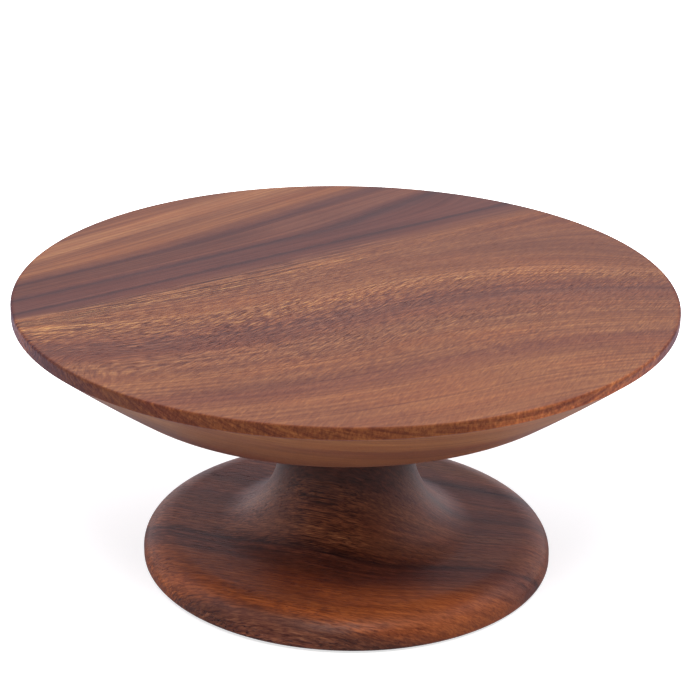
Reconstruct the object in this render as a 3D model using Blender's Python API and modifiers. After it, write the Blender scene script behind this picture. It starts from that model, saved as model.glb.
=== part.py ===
"""Round wooden cake stand: a thick bevelled plate bolted down onto a turned pedestal.

Metres, +Z up. The origin is on the floor, under the centre of the stand.
Run with: blender --background --python part.py
"""

from math import cos, pi, sin, sqrt

import bmesh
import bpy
from mathutils import Matrix, Vector

# Driving dimensions
STAND_HEIGHT = 0.133
PLATE_RADIUS = 0.150
PLATE_THICKNESS = 0.038
FOOT_RADIUS = 0.0955
NECK_RADIUS = 0.0308
FIT_GAP = 0.0003           # clearance between pieces that touch

# Plate
EDGE_ROUNDING = 0.001      # eased top edge
EDGE_BAND = 0.0051         # upright band below the top face
BEVEL_END_RADIUS = 0.112   # where the bevelled underside reaches the flat middle
BEVEL_END_DEPTH = 0.0345
BEVEL_SWELL = 0.0009       # how far the bevel's control point stands out of a straight line
KNEE_WIDTH = 0.008

# Pedestal, heights above the foot's underside
PAD_PROUD = 0.001          # the pads lift the foot this far off the floor
FOOT_EDGE_HEIGHT = 0.0047  # height of the foot's widest ring
SHOULDER_RADIUS = 0.0805
SHOULDER_HEIGHT = 0.0158
FLARE_RADIUS = 0.060       # the foot's top starts to rise to the neck here
FLARE_HEIGHT = 0.0160
FLARE_LEAN = 0.0017        # how far both ends of the flare lean away from upright and level
FLARE_FULLNESS = 0.70
FOOT_UNDERCUT = 0.002      # the rounded lower edge narrows the foot by this
NECK_BOTTOM = 0.0553
NECK_TOP = 0.070
NECK_HEAD_RADIUS = 0.036   # the neck opens to this under the plate
RIM_INNER_RADIUS = 0.066   # inside this the foot's underside is hollowed
HOLLOW_DEPTH = 0.003

# Joint between plate and pedestal
SPIGOT_RADIUS = 0.015
SPIGOT_HEIGHT = 0.012
BLIND_END_GAP = 0.0008     # room left at the end of the blind holes
COUNTERBORE_RADIUS = 0.013
COUNTERBORE_TOP = 0.040    # height of the washer's seat above the floor
DOWEL_RADIUS = 0.004
DOWEL_LENGTH = 0.030
DOWEL_CIRCLE_RADIUS = 0.023

# Hardware
BOLT_RADIUS = 0.004
BOLT_LENGTH = 0.080
BOLT_HEAD_RADIUS = 0.0065
BOLT_HEAD_HEIGHT = 0.008
HEX_SOCKET_RADIUS = 0.00346   # corner radius of a 6 mm hexagon
HEX_SOCKET_DEPTH = 0.004
FLAT_WASHER_RADIUS = 0.012
FLAT_WASHER_THICKNESS = 0.0016
LOCK_WASHER_RADIUS = 0.0074
LOCK_WASHER_THICKNESS = 0.002
LOCK_WASHER_SLIT = 0.001
INSERT_RADIUS = 0.006
INSERT_LENGTH = 0.013
INSERT_BARBS = 4
PAD_RADIUS = 0.008
PAD_THICKNESS = 0.003
PAD_CIRCLE_RADIUS = 0.080

# Heights worked out from the sizes above
PLATE_BOTTOM = STAND_HEIGHT - PLATE_THICKNESS
NECK_HEAD = PLATE_BOTTOM - FIT_GAP
SPIGOT_TOP = NECK_HEAD + SPIGOT_HEIGHT
SOCKET_TOP = SPIGOT_TOP + BLIND_END_GAP
FLAT_WASHER_TOP = COUNTERBORE_TOP - FIT_GAP
LOCK_WASHER_TOP = FLAT_WASHER_TOP - FLAT_WASHER_THICKNESS - FIT_GAP
BOLT_SEAT = LOCK_WASHER_TOP - LOCK_WASHER_THICKNESS - FIT_GAP
BOLT_BORE_RADIUS = BOLT_RADIUS + 0.0005

# Resolution of the turned solids
WOOD_STEPS = 64
METAL_STEPS = 24
CUTTER_SEGMENTS = 24
TRUE_ROUND = sqrt(0.5)     # fullness that makes a square corner a quarter circle


def clear_scene():
    for old in list(bpy.context.scene.objects):
        bpy.data.objects.remove(old)


def new_collection(name):
    collection = bpy.data.collections.new(name)
    bpy.context.scene.collection.children.link(collection)
    return collection


clear_scene()
stand = new_collection("cake_stand")
cutters = new_collection("cutters")


def principled(name, colour, roughness, metallic=0.0):
    material = bpy.data.materials.new(name)
    material.use_nodes = True
    shader = material.node_tree.nodes["Principled BSDF"]
    shader.inputs["Base Color"].default_value = (*colour, 1.0)
    shader.inputs["Roughness"].default_value = roughness
    shader.inputs["Metallic"].default_value = metallic
    material.diffuse_color = (*colour, 1.0)
    return material


def bend(start, corner, end, fullness=TRUE_ROUND, steps=4):
    """Profile points on the arc that leaves start towards corner and arrives at end from corner."""
    start, corner, end = Vector(start), Vector(corner), Vector(end)
    points = []
    for step in range(steps + 1):
        t = step / steps
        near, middle, far = (1 - t) ** 2, 2 * fullness * t * (1 - t), t ** 2
        points.append((start * near + corner * middle + end * far) / (near + middle + far))
    return points


def turned(name, profile, material, collection, steps, closed=True):
    """Turn (radius, height) points about Z. An open profile starts and ends on the axis."""
    mesh = bpy.data.meshes.new(name)
    shape = bmesh.new()
    vertices = [shape.verts.new((radius, 0.0, height)) for radius, height in profile]
    for first, second in zip(vertices, vertices[1:]):
        shape.edges.new((first, second))
    if closed:
        shape.edges.new((vertices[-1], vertices[0]))
    shape.to_mesh(mesh)
    shape.free()
    mesh.materials.append(material)
    piece = bpy.data.objects.new(name, mesh)
    collection.objects.link(piece)
    screw = piece.modifiers.new("turn", "SCREW")
    screw.axis = "Z"
    screw.steps = steps
    screw.render_steps = steps
    screw.use_merge_vertices = True
    screw.merge_threshold = 0.00001
    screw.use_smooth_shade = True
    return piece


def prism_cutter(name, radius, bottom, top, place, segments=CUTTER_SEGMENTS):
    """Upright round or many-sided cutter between two heights, centred on place (x, y)."""
    mesh = bpy.data.meshes.new(name)
    shape = bmesh.new()
    centre = Matrix.Translation((place[0], place[1], (bottom + top) / 2))
    bmesh.ops.create_cone(shape, cap_ends=True, segments=segments, radius1=radius, radius2=radius,
                          depth=top - bottom, matrix=centre)
    shape.to_mesh(mesh)
    shape.free()
    return add_cutter(name, mesh)


def box_cutter(name, size, centre):
    mesh = bpy.data.meshes.new(name)
    shape = bmesh.new()
    bmesh.ops.create_cube(shape, size=1.0, matrix=Matrix.Translation(centre) @ Matrix.Diagonal((*size, 1.0)))
    shape.to_mesh(mesh)
    shape.free()
    return add_cutter(name, mesh)


def add_cutter(name, mesh):
    cutter = bpy.data.objects.new(name, mesh)
    cutter.hide_render = True
    cutter.display_type = "WIRE"
    cutters.objects.link(cutter)
    return cutter


def cut(piece, cutter):
    boolean = piece.modifiers.new(cutter.name, "BOOLEAN")
    boolean.operation = "DIFFERENCE"
    boolean.solver = "EXACT"
    boolean.object = cutter


def around(radius, angle):
    return radius * cos(angle), radius * sin(angle)


def dowel_places():
    return [around(DOWEL_CIRCLE_RADIUS, angle) for angle in (0.0, pi)]


def pad_places():
    return [around(PAD_CIRCLE_RADIUS, quarter * pi / 2) for quarter in range(4)]


def build_plate(wood):
    """Board with a flat top, an upright edge band and a swelling bevel to a flat middle."""
    band_bottom = STAND_HEIGHT - EDGE_BAND
    bevel_end = (BEVEL_END_RADIUS, STAND_HEIGHT - BEVEL_END_DEPTH)
    bevel_middle = ((PLATE_RADIUS + bevel_end[0]) / 2, (band_bottom + bevel_end[1]) / 2 - BEVEL_SWELL)
    bevel_drop = (bevel_middle[1] - bevel_end[1]) / (bevel_middle[0] - bevel_end[0])
    knee_corner = (bevel_end[0] - (bevel_end[1] - PLATE_BOTTOM) / bevel_drop, PLATE_BOTTOM)
    socket_radius = SPIGOT_RADIUS + FIT_GAP
    insert_hole_radius = INSERT_RADIUS + FIT_GAP
    insert_hole_top = SOCKET_TOP + INSERT_LENGTH + BLIND_END_GAP
    profile = [(0.0, STAND_HEIGHT)]
    profile += bend((PLATE_RADIUS - EDGE_ROUNDING, STAND_HEIGHT), (PLATE_RADIUS, STAND_HEIGHT),
                    (PLATE_RADIUS, STAND_HEIGHT - EDGE_ROUNDING), steps=2)
    profile += bend((PLATE_RADIUS, band_bottom), bevel_middle, bevel_end, fullness=1.0, steps=5)
    profile += bend(bevel_end, knee_corner, (BEVEL_END_RADIUS - KNEE_WIDTH, PLATE_BOTTOM), fullness=1.0)[1:]
    profile += [(socket_radius, PLATE_BOTTOM), (socket_radius, SOCKET_TOP)]
    profile += [(insert_hole_radius, SOCKET_TOP), (insert_hole_radius, insert_hole_top)]
    profile += [(0.0, insert_hole_top)]
    plate = turned("plate", profile, wood, stand, WOOD_STEPS, closed=False)
    hole_top = PLATE_BOTTOM + DOWEL_LENGTH / 2 + FIT_GAP
    for number, place in enumerate(dowel_places(), start=1):
        hole = prism_cutter(f"cutter_plate_dowel_{number}", DOWEL_RADIUS + FIT_GAP,
                            PLATE_BOTTOM - DOWEL_LENGTH, hole_top, place)
        cut(plate, hole)


def build_pedestal(wood):
    """Foot, flare, neck and spigot in one block, bored for the bolt and hollowed underneath."""
    floor = PAD_PROUD
    widest = (FOOT_RADIUS, floor + FOOT_EDGE_HEIGHT)
    shoulder = (SHOULDER_RADIUS, floor + SHOULDER_HEIGHT)
    flare = (FLARE_RADIUS, floor + FLARE_HEIGHT)
    flare_corner = (NECK_RADIUS + FLARE_LEAN, floor + FLARE_HEIGHT + FLARE_LEAN)
    neck_bottom = (NECK_RADIUS, floor + NECK_BOTTOM)
    neck_top = (NECK_RADIUS, floor + NECK_TOP)
    neck_flare_start = (NECK_HEAD + neck_top[1]) / 2
    contact = (FOOT_RADIUS - FOOT_UNDERCUT, floor)
    hollow_top = floor + HOLLOW_DEPTH
    profile = [(BOLT_BORE_RADIUS, SPIGOT_TOP), (SPIGOT_RADIUS, SPIGOT_TOP), (SPIGOT_RADIUS, NECK_HEAD)]
    profile += bend((NECK_HEAD_RADIUS, NECK_HEAD), (NECK_RADIUS, neck_flare_start), neck_top, fullness=1.0)
    profile += bend(neck_bottom, flare_corner, flare, fullness=FLARE_FULLNESS, steps=9)
    profile += bend(shoulder, (FOOT_RADIUS, shoulder[1]), widest, steps=7)
    profile += bend((FOOT_RADIUS, floor + FOOT_UNDERCUT), (FOOT_RADIUS, floor), contact, steps=2)
    profile += [(RIM_INNER_RADIUS, floor), (RIM_INNER_RADIUS - HOLLOW_DEPTH, hollow_top)]
    profile += [(COUNTERBORE_RADIUS, hollow_top), (COUNTERBORE_RADIUS, COUNTERBORE_TOP)]
    profile += [(BOLT_BORE_RADIUS, COUNTERBORE_TOP)]
    pedestal = turned("pedestal", profile, wood, stand, WOOD_STEPS)
    hole_bottom = NECK_HEAD - DOWEL_LENGTH / 2 - FIT_GAP
    for number, place in enumerate(dowel_places(), start=1):
        hole = prism_cutter(f"cutter_neck_dowel_{number}", DOWEL_RADIUS + FIT_GAP, hole_bottom,
                            NECK_HEAD + DOWEL_LENGTH, place)
        cut(pedestal, hole)
    for number, place in enumerate(pad_places(), start=1):
        pocket = prism_cutter(f"cutter_pad_{number}", PAD_RADIUS + FIT_GAP, floor - PAD_THICKNESS,
                              PAD_THICKNESS + FIT_GAP, place)
        cut(pedestal, pocket)


def build_threaded_insert(brass):
    """Insert nut with barbs round its outside."""
    bore = BOLT_RADIUS + FIT_GAP
    root = INSERT_RADIUS - 0.001
    bottom = SOCKET_TOP + FIT_GAP
    flange_top = bottom + 0.0015
    pitch = (bottom + INSERT_LENGTH - flange_top) / INSERT_BARBS
    profile = [(bore, bottom + INSERT_LENGTH)]
    for barb in reversed(range(INSERT_BARBS)):
        barb_bottom = flange_top + barb * pitch
        profile += [(root, barb_bottom + pitch), (INSERT_RADIUS, barb_bottom + 0.2 * pitch)]
        profile += [(root, barb_bottom + 0.1 * pitch)]
    profile += [(root, flange_top), (INSERT_RADIUS, flange_top), (INSERT_RADIUS, bottom), (bore, bottom)]
    turned("threaded_insert", profile, brass, stand, METAL_STEPS)


def build_centre_bolt(steel):
    """Socket-head bolt, head down, with a hexagon socket in the head."""
    chamfer = 0.0006
    head_bottom = BOLT_SEAT - BOLT_HEAD_HEIGHT
    tip = BOLT_SEAT + BOLT_LENGTH
    profile = [(0.0, tip), (BOLT_RADIUS - chamfer, tip), (BOLT_RADIUS, tip - chamfer)]
    profile += [(BOLT_RADIUS, BOLT_SEAT), (BOLT_HEAD_RADIUS, BOLT_SEAT)]
    profile += [(BOLT_HEAD_RADIUS, head_bottom + chamfer)]
    profile += [(BOLT_HEAD_RADIUS - chamfer, head_bottom), (0.0, head_bottom)]
    bolt = turned("centre_bolt", profile, steel, stand, METAL_STEPS, closed=False)
    socket = prism_cutter("cutter_hex_socket", HEX_SOCKET_RADIUS, head_bottom - HEX_SOCKET_DEPTH,
                          head_bottom + HEX_SOCKET_DEPTH, (0.0, 0.0), segments=6)
    cut(bolt, socket)


def washer_profile(inner, outer, top, thickness):
    return [(inner, top), (outer, top), (outer, top - thickness), (inner, top - thickness)]


def build_washers(steel):
    """Flat washer against the wood, and a split lock washer under the bolt's head."""
    inner = BOLT_RADIUS + FIT_GAP
    flat = washer_profile(inner, FLAT_WASHER_RADIUS, FLAT_WASHER_TOP, FLAT_WASHER_THICKNESS)
    turned("flat_washer", flat, steel, stand, METAL_STEPS)
    lock = washer_profile(inner, LOCK_WASHER_RADIUS, LOCK_WASHER_TOP, LOCK_WASHER_THICKNESS)
    lock_washer = turned("lock_washer", lock, steel, stand, METAL_STEPS)
    slit_size = (2 * LOCK_WASHER_RADIUS, LOCK_WASHER_SLIT, 2 * LOCK_WASHER_THICKNESS)
    slit_centre = (LOCK_WASHER_RADIUS, 0.0, LOCK_WASHER_TOP - LOCK_WASHER_THICKNESS / 2)
    slit = box_cutter("cutter_lock_slit", slit_size, slit_centre)
    cut(lock_washer, slit)


def build_dowel_pins(wood):
    """Chamfered dowels, half in the neck and half in the plate."""
    chamfer = 0.0008
    half = DOWEL_LENGTH / 2 - FIT_GAP
    profile = [(0.0, half), (DOWEL_RADIUS - chamfer, half), (DOWEL_RADIUS, half - chamfer)]
    profile += [(radius, -height) for radius, height in reversed(profile)]
    for number, place in enumerate(dowel_places(), start=1):
        dowel = turned(f"dowel_pin_{number}", profile, wood, stand, METAL_STEPS, closed=False)
        dowel.location = (*place, PLATE_BOTTOM)


def build_foot_pads(rubber):
    """Round pads in the foot's pockets, with a rounded lower edge. The floor touches their flat faces."""
    edge = 0.0006
    profile = [(0.0, PAD_THICKNESS), (PAD_RADIUS, PAD_THICKNESS)]
    profile += bend((PAD_RADIUS, edge), (PAD_RADIUS, 0.0), (PAD_RADIUS - edge, 0.0), steps=2)
    profile += [(0.0, 0.0)]
    for number, place in enumerate(pad_places(), start=1):
        pad = turned(f"foot_pad_{number}", profile, rubber, stand, METAL_STEPS, closed=False)
        pad.location = (*place, 0.0)


build_plate(principled("plate_wood", (0.30, 0.135, 0.075), 0.45))
build_pedestal(principled("pedestal_wood", (0.13, 0.045, 0.025), 0.45))
build_threaded_insert(principled("insert_brass", (0.72, 0.52, 0.25), 0.35, metallic=1.0))
steel = principled("zinc_steel", (0.62, 0.62, 0.60), 0.35, metallic=1.0)
build_centre_bolt(steel)
build_washers(steel)
build_dowel_pins(principled("dowel_wood", (0.60, 0.42, 0.26), 0.6))
build_foot_pads(principled("pad_rubber", (0.03, 0.03, 0.03), 0.8))
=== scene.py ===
"""Looks of the wooden cake stand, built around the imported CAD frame. Metres, +Z up, -Y towards the viewer."""

from math import ceil, cos, pi, radians, sin, sqrt
from types import SimpleNamespace

import bmesh
import bpy
import numpy as np
from mathutils import Matrix, Vector


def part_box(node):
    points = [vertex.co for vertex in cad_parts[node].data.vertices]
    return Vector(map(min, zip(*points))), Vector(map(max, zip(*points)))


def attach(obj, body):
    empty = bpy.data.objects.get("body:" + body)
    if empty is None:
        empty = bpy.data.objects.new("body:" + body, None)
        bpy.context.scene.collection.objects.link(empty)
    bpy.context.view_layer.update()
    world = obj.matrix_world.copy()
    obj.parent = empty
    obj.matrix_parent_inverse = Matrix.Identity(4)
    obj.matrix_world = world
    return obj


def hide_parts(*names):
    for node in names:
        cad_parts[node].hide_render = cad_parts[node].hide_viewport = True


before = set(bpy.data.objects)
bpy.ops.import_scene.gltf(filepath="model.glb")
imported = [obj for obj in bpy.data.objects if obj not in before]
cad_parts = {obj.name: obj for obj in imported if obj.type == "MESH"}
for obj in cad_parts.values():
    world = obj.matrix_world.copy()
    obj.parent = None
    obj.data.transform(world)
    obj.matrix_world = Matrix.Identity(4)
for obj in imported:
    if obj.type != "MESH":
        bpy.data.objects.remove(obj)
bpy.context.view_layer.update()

# ---------------------------------------------------------------- sizes from the frame
SIZE_MARGIN = 0.000002          # keeps the plate's rim just inside the CAD's box
PLATE_LOW, PLATE_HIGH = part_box("plate")
PEDESTAL_LOW, PEDESTAL_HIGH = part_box("pedestal")
BOLT_LOW, BOLT_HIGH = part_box("centre_bolt")
PLATE_RADIUS = PLATE_HIGH.y - SIZE_MARGIN
PLATE_TOP = PLATE_HIGH.z
PLATE_BOTTOM = PLATE_LOW.z
FOOT_RADIUS = PEDESTAL_HIGH.y
FOOT_BOTTOM = PEDESTAL_LOW.z
SPIGOT_TOP = PEDESTAL_HIGH.z

# Plate: the same outline as the CAD plate, with finer curves
EDGE_EASE = 0.0010
EDGE_BAND = 0.0051
BEVEL_END_RADIUS = 0.112
BEVEL_END_DEPTH = 0.0345
BEVEL_SWELL = 0.0009
KNEE_WIDTH = 0.008
SOCKET_RADIUS = 0.0153
SOCKET_TOP = 0.1075
INSERT_HOLE_RADIUS = 0.0063
INSERT_HOLE_TOP = 0.1213

# Pedestal: the same outline as the CAD pedestal, heights above the foot's underside
FOOT_EDGE_HEIGHT = 0.0047
SHOULDER_RADIUS = 0.0805
SHOULDER_HEIGHT = 0.0158
FLARE_RADIUS = 0.060
FLARE_HEIGHT = 0.0160
FLARE_LEAN = 0.0017
FLARE_FULLNESS = 0.70
FOOT_UNDERCUT = 0.002
NECK_RADIUS = 0.0308
NECK_BOTTOM = 0.0553
NECK_WAIST_TOP = 0.070
NECK_HEAD_RADIUS = 0.036
NECK_HEAD = PLATE_BOTTOM - 0.0003
SPIGOT_RADIUS = 0.015
BORE_RADIUS = 0.0045
COUNTERBORE_RADIUS = 0.013
COUNTERBORE_TOP = 0.040
RIM_INNER_RADIUS = 0.066
HOLLOW_DEPTH = 0.003

# Fineness of the turned surfaces: steps round the axis, and the widest gap between rings
PLATE_STEPS = 512
PEDESTAL_STEPS = 360
PLATE_TOP_GAP = 0.0016
EDGE_BAND_GAP = 0.0007
PEDESTAL_GAP = 0.0015
FOOT_EDGE_GAP = 0.0012
NECK_HEAD_GAP = 0.003
FOOT_RIM_GAP = 0.004
HIDDEN_GAP = 0.006
BORE_GAP = 0.02

# How far the hand-turned wood strays from the drawn shape
PEDESTAL_LEAN = 0.00205         # the foot stands this far to +X of the plate's centre
FOOT_TILT = 0.0052              # slope of the foot along X
UNDERSIDE_TILT = 0.0066         # slope of the bevel along X; the edge band is thicker on the -X side

# Joint and hardware
FIT_GAP = 0.0003
PIN_HOLE_DEPTH = 0.0153         # from the joint face, in the plate and in the neck
PIN_DRILL_EXTRA = 0.02          # how far the drill for the pins starts outside the joint face
PAD_DRILL_BOTTOM = -0.01
HARDWARE_STEPS = 96
BOLT_RADIUS = 0.004
BOLT_HEAD_HEIGHT = 0.008
BOLT_KNURLS = 32
KNURL_DEPTH = 0.00022
HEX_CORNER = 0.00346
HEX_DEPTH = 0.004
WASHER_BORE = BOLT_RADIUS + FIT_GAP
SLIT_WIDTH = 0.0011
SLIT_SLANT = 0.7                # how far the lock washer's slit leans for each unit of height
THREAD_PITCH = 0.00125
THREAD_DEPTH = 0.0006
THREAD_ROWS = 6                 # rings for each turn of the thread
THREAD_LENGTH = 0.028
INSERT_BARBS = 4
INSERT_FLANGE = 0.0015
INSERT_KNURLS = 24
INSERT_KNURL_DEPTH = 0.00035
DOWEL_STEPS = 72
DOWEL_FLUTES = 12
DOWEL_FLUTE_DEPTH = 0.00022
DOWEL_PINS = ("dowel_pin_1", "dowel_pin_2")
PAD_STEPS = 72
PAD_GROOVES = (0.0062, 0.0048, 0.0034, 0.0020)     # radii of the grip rings
PAD_GROOVE_DEPTH = 0.0002
FOOT_PADS = ("foot_pad_1", "foot_pad_2", "foot_pad_3", "foot_pad_4")


# ---------------------------------------------------------------- small helpers
TRUE_ROUND = sqrt(0.5)          # fullness that makes bend() a quarter of a circle
MERGE_DISTANCE = 1e-6


def smoothstep(low, high, value):
    """0 at low and 1 at high. Where low is the larger, it falls instead of rising."""
    t = np.clip((value - low) / (high - low), 0.0, 1.0)
    return t * t * (3.0 - 2.0 * t)


def hump(value, start, full, full_end, end):
    """1 from full to full_end, fading to 0 at start and at end."""
    return smoothstep(start, full, value) * smoothstep(end, full_end, value)


def srgb(red, green, blue):
    """Linear colour from 0 to 255 screen values."""
    linear = []
    for channel in (red, green, blue):
        value = channel / 255
        linear.append(value / 12.92 if value <= 0.04045 else ((value + 0.055) / 1.055) ** 2.4)
    return (*linear, 1.0)


def bend(start, corner, end, fullness=TRUE_ROUND, steps=16):
    """Profile points on the arc that leaves start towards corner and arrives at end from corner."""
    start, corner, end = Vector(start), Vector(corner), Vector(end)
    points = []
    for step in range(steps + 1):
        t = step / steps
        near, middle, far = (1 - t) ** 2, 2 * fullness * t * (1 - t), t ** 2
        points.append((start * near + corner * middle + end * far) / (near + middle + far))
    return points


def refined(profile, gap):
    """The same profile with no gap between points wider than gap."""
    points = [Vector(profile[0])]
    for point in profile[1:]:
        start, end = points[-1].copy(), Vector(point)
        parts = max(1, ceil((end - start).length / gap - 0.01))
        points += [start.lerp(end, part / parts) for part in range(1, parts + 1)]
    return points


def finished(name, shape, sharp_angle=35):
    """Turn a bmesh into a linked object, smooth except at sharp edges."""
    mesh = bpy.data.meshes.new(name)
    shape.to_mesh(mesh)
    shape.free()
    mesh.shade_smooth()
    mesh.set_sharp_from_angle(angle=radians(sharp_angle))
    piece = bpy.data.objects.new(name, mesh)
    bpy.context.scene.collection.objects.link(piece)
    return piece


def turned(name, profile, steps, closed=False):
    """Solid of revolution about Z from (radius, height) points."""
    shape = bmesh.new()
    corners = [shape.verts.new((point[0], 0.0, point[1])) for point in profile]
    for first, second in zip(corners, corners[1:]):
        shape.edges.new((first, second))
    if closed:
        shape.edges.new((corners[-1], corners[0]))
    bmesh.ops.spin(shape, geom=shape.verts[:] + shape.edges[:], axis=(0, 0, 1), cent=(0, 0, 0),
                   angle=2 * pi, steps=steps, use_merge=True)
    bmesh.ops.remove_doubles(shape, verts=shape.verts, dist=MERGE_DISTANCE)
    bmesh.ops.recalc_face_normals(shape, faces=shape.faces)
    return finished(name, shape)


def drill(piece, holes, segments=48):
    """Cut upright round holes, each (x, y, radius, bottom, top), in one Boolean."""
    shape = bmesh.new()
    for x, y, radius, bottom, top in holes:
        centre = Matrix.Translation((x, y, (bottom + top) / 2))
        bmesh.ops.create_cone(shape, cap_ends=True, segments=segments, radius1=radius, radius2=radius,
                              depth=top - bottom, matrix=centre)
    cutter = finished("cutter", shape)
    boolean = piece.modifiers.new("holes", "BOOLEAN")
    boolean.object = cutter
    boolean.operation = "DIFFERENCE"
    boolean.solver = "EXACT"
    view = bpy.context.evaluated_depsgraph_get()
    drilled = bpy.data.meshes.new_from_object(piece.evaluated_get(view))
    piece.modifiers.clear()
    piece.data = drilled
    bpy.data.objects.remove(cutter)


def hole_for(name, bottom, top):
    """The hole that holds one CAD pin or pad."""
    low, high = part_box(name)
    return (low.x + high.x) / 2, (low.y + high.y) / 2, (high.x - low.x) / 2 + FIT_GAP, bottom, top


def stand_over(piece, name):
    """Move a piece from the Z axis to where the CAD node stands."""
    low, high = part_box(name)
    piece.data.transform(Matrix.Translation(((low.x + high.x) / 2, (low.y + high.y) / 2, 0)))


def positions(piece):
    places = np.zeros(len(piece.data.vertices) * 3)
    piece.data.vertices.foreach_get("co", places)
    return places.reshape(-1, 3)


def move_vertices(piece, places):
    piece.data.vertices.foreach_set("co", places.ravel())
    piece.data.update()


def store(piece, name, values):
    """Keep a vector for each vertex, for the materials to read."""
    kept = piece.data.attributes.new(name, "FLOAT_VECTOR", "POINT")
    kept.data.foreach_set("vector", values.ravel())


def mount(piece, cad_node, material):
    """Give a piece its finish and its place in the assembly."""
    piece.data.materials.clear()
    piece.data.materials.append(material)
    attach(piece, "root")
    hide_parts(cad_node)


# ---------------------------------------------------------------- node helpers
def node(tree, kind, inputs=None, **settings):
    """Add a node. Each input is a value or another node's output."""
    made = tree.nodes.new(kind)
    for key, value in settings.items():
        setattr(made, key, value)
    for key, value in (inputs or {}).items():
        if isinstance(value, bpy.types.NodeSocket):
            tree.links.new(value, made.inputs[key])
        else:
            made.inputs[key].default_value = value
    return made


def maths(tree, operation, first, second=0.0, third=0.0):
    return node(tree, "ShaderNodeMath", {0: first, 1: second, 2: third}, operation=operation).outputs[0]


def scaled(tree, value, factor, offset):
    """value * factor + offset."""
    return maths(tree, "MULTIPLY_ADD", value, factor, offset)


def minus(tree, first, second):
    return maths(tree, "SUBTRACT", first, second)


def product(tree, *factors):
    result = factors[0]
    for factor in factors[1:]:
        result = maths(tree, "MULTIPLY", result, factor)
    return result


def swing(tree, value, amount):
    """1 + amount * (value - 0.5): a brightness factor from a noise."""
    return scaled(tree, value, amount, 1.0 - amount / 2)


def between(tree, value, low, high, result_low=0.0, result_high=1.0):
    """Smooth step from result_low at low to result_high at high."""
    ranged = node(tree, "ShaderNodeMapRange", {"Value": value, "From Min": low, "From Max": high,
                                               "To Min": result_low, "To Max": result_high},
                  interpolation_type="SMOOTHSTEP")
    return ranged.outputs[0]


def rescaled(tree, value, low, high):
    """Straight scale with 0 at low and 1 at high, going on past both."""
    ranged = node(tree, "ShaderNodeMapRange", {"Value": value, "From Min": low, "From Max": high},
                  clamp=False)
    return ranged.outputs[0]


def attribute(tree, name):
    """The vector that store() kept under this name."""
    return node(tree, "ShaderNodeAttribute", attribute_name=name).outputs["Vector"]


def object_place(tree):
    return node(tree, "ShaderNodeTexCoord").outputs["Object"]


def components(tree, vector):
    return node(tree, "ShaderNodeSeparateXYZ", {0: vector}).outputs


def noise_at(tree, vector, stretch, detail=2.0, roughness=0.5, distortion=0.0):
    """Noise from 0 to 1, with stretch features per metre along each axis."""
    stretched = node(tree, "ShaderNodeVectorMath", {0: vector, 1: stretch}, operation="MULTIPLY").outputs[0]
    texture = node(tree, "ShaderNodeTexNoise", {"Vector": stretched, "Scale": 1.0, "Detail": detail,
                                                "Roughness": roughness, "Distortion": distortion})
    return texture.outputs["Fac"]


def brighten(tree, colour, factor):
    return node(tree, "ShaderNodeVectorMath", {0: colour, "Scale": factor}, operation="SCALE").outputs[0]


def blend(tree, factor, first, second, mode="MIX"):
    mixer = node(tree, "ShaderNodeMix", data_type="RGBA", blend_type=mode)
    for socket, value in ((0, factor), (6, first), (7, second)):
        if isinstance(value, bpy.types.NodeSocket):
            tree.links.new(value, mixer.inputs[socket])
        else:
            mixer.inputs[socket].default_value = value
    return mixer.outputs[2]


def tinted(tree, colour, tint):
    return blend(tree, 1.0, colour, tint, "MULTIPLY")


def ramp(tree, value, stops):
    made = node(tree, "ShaderNodeValToRGB", {0: value})
    elements = made.color_ramp.elements
    while len(elements) < len(stops):
        elements.new(1.0)
    for element, (place, colour) in zip(elements, stops):
        element.position = place
        element.color = colour
    return made.outputs[0]


def new_material(name):
    material = bpy.data.materials.new(name)
    material.use_nodes = True
    material.node_tree.nodes.clear()
    return material


def surface(tree, colour, roughness, height, depth, **more):
    """The material's shader, with height as relief that is depth metres deep."""
    shader = node(tree, "ShaderNodeBsdfPrincipled", {"Base Color": colour, "Roughness": roughness, **more})
    bump = node(tree, "ShaderNodeBump", {"Height": height, "Strength": 1.0, "Distance": depth})
    tree.links.new(bump.outputs[0], shader.inputs["Normal"])
    output = node(tree, "ShaderNodeOutputMaterial")
    tree.links.new(shader.outputs[0], output.inputs[0])


# ---------------------------------------------------------------- wood tones
PALE = srgb(150, 100, 62)
EMBER = srgb(140, 73, 36)
HONEY = srgb(137, 88, 54)
RED_BROWN = srgb(130, 66, 32)
TAN = srgb(125, 75, 43)
WALNUT = srgb(124, 73, 48)
CHESTNUT = srgb(118, 65, 42)
BROWN = srgb(116, 69, 42)
RUSSET = srgb(108, 59, 37)
COCOA = srgb(106, 57, 41)
UMBER = srgb(97, 54, 38)
BARK = srgb(88, 48, 35)
PLUM = srgb(84, 43, 34)
SHADOW = srgb(70, 32, 27)
INK = srgb(66, 35, 28)
DEEP = srgb(56, 26, 26)
VEIL = srgb(230, 212, 255)          # mauve bloom of the oil at a low angle
WARMTH = (1.06, 0.99, 0.92, 1.0)    # factors that turn a brown a little warmer
END_GRAIN = (                       # factors that turn oiled wood into bare wood, against the noise
    (0.36, (0.54, 0.43, 0.38, 1.0)),
    (0.50, (0.63, 0.51, 0.43, 1.0)),
    (0.64, (0.73, 0.60, 0.50, 1.0)),
)

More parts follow.
